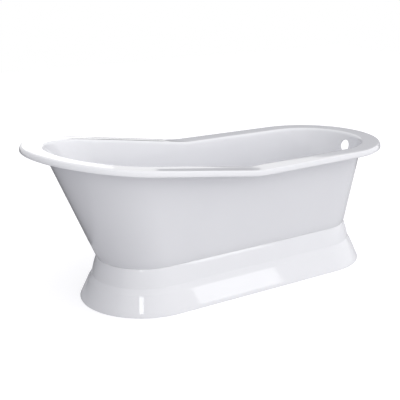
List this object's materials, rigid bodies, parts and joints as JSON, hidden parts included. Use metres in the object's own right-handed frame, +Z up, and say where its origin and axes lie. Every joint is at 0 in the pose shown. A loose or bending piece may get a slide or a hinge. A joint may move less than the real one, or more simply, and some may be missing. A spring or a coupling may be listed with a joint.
{
  "type": "slipper pedestal bath",
  "caption": "Free-standing slipper bath with one raised end and a rolled rim, clamped on a hollow stepped plinth; bare waste and overflow holes.",
  "frame": {"origin": "on the floor, under the middle of the rim's length and width", "axes": "+X towards the low foot end with the overflow hole, +Z up, +Y to the right-hand side seen from the head end"},
  "size_m": [1.829, 0.7737, 0.731],
  "materials": {
    "bath_enamel": "gloss white enamel inside and gloss white paint outside",
    "plinth_enamel": "gloss white paint outside, dark primer inside",
    "sealant": "satin white sealant",
    "plated_steel": "dull zinc plating"
  },
  "bodies": {
    "root": {"tub_shell": "bath_enamel", "plinth": "plinth_enamel", "joint_seal": "sealant", "clamp_strap_head_left": "plated_steel", "clamp_strap_head_right": "plated_steel", "clamp_strap_foot_left": "plated_steel", "clamp_strap_foot_right": "plated_steel", "clamp_studs": "plated_steel", "clamp_washers": "plated_steel", "clamp_nuts": "plated_steel"}
  },
  "joints": []
}
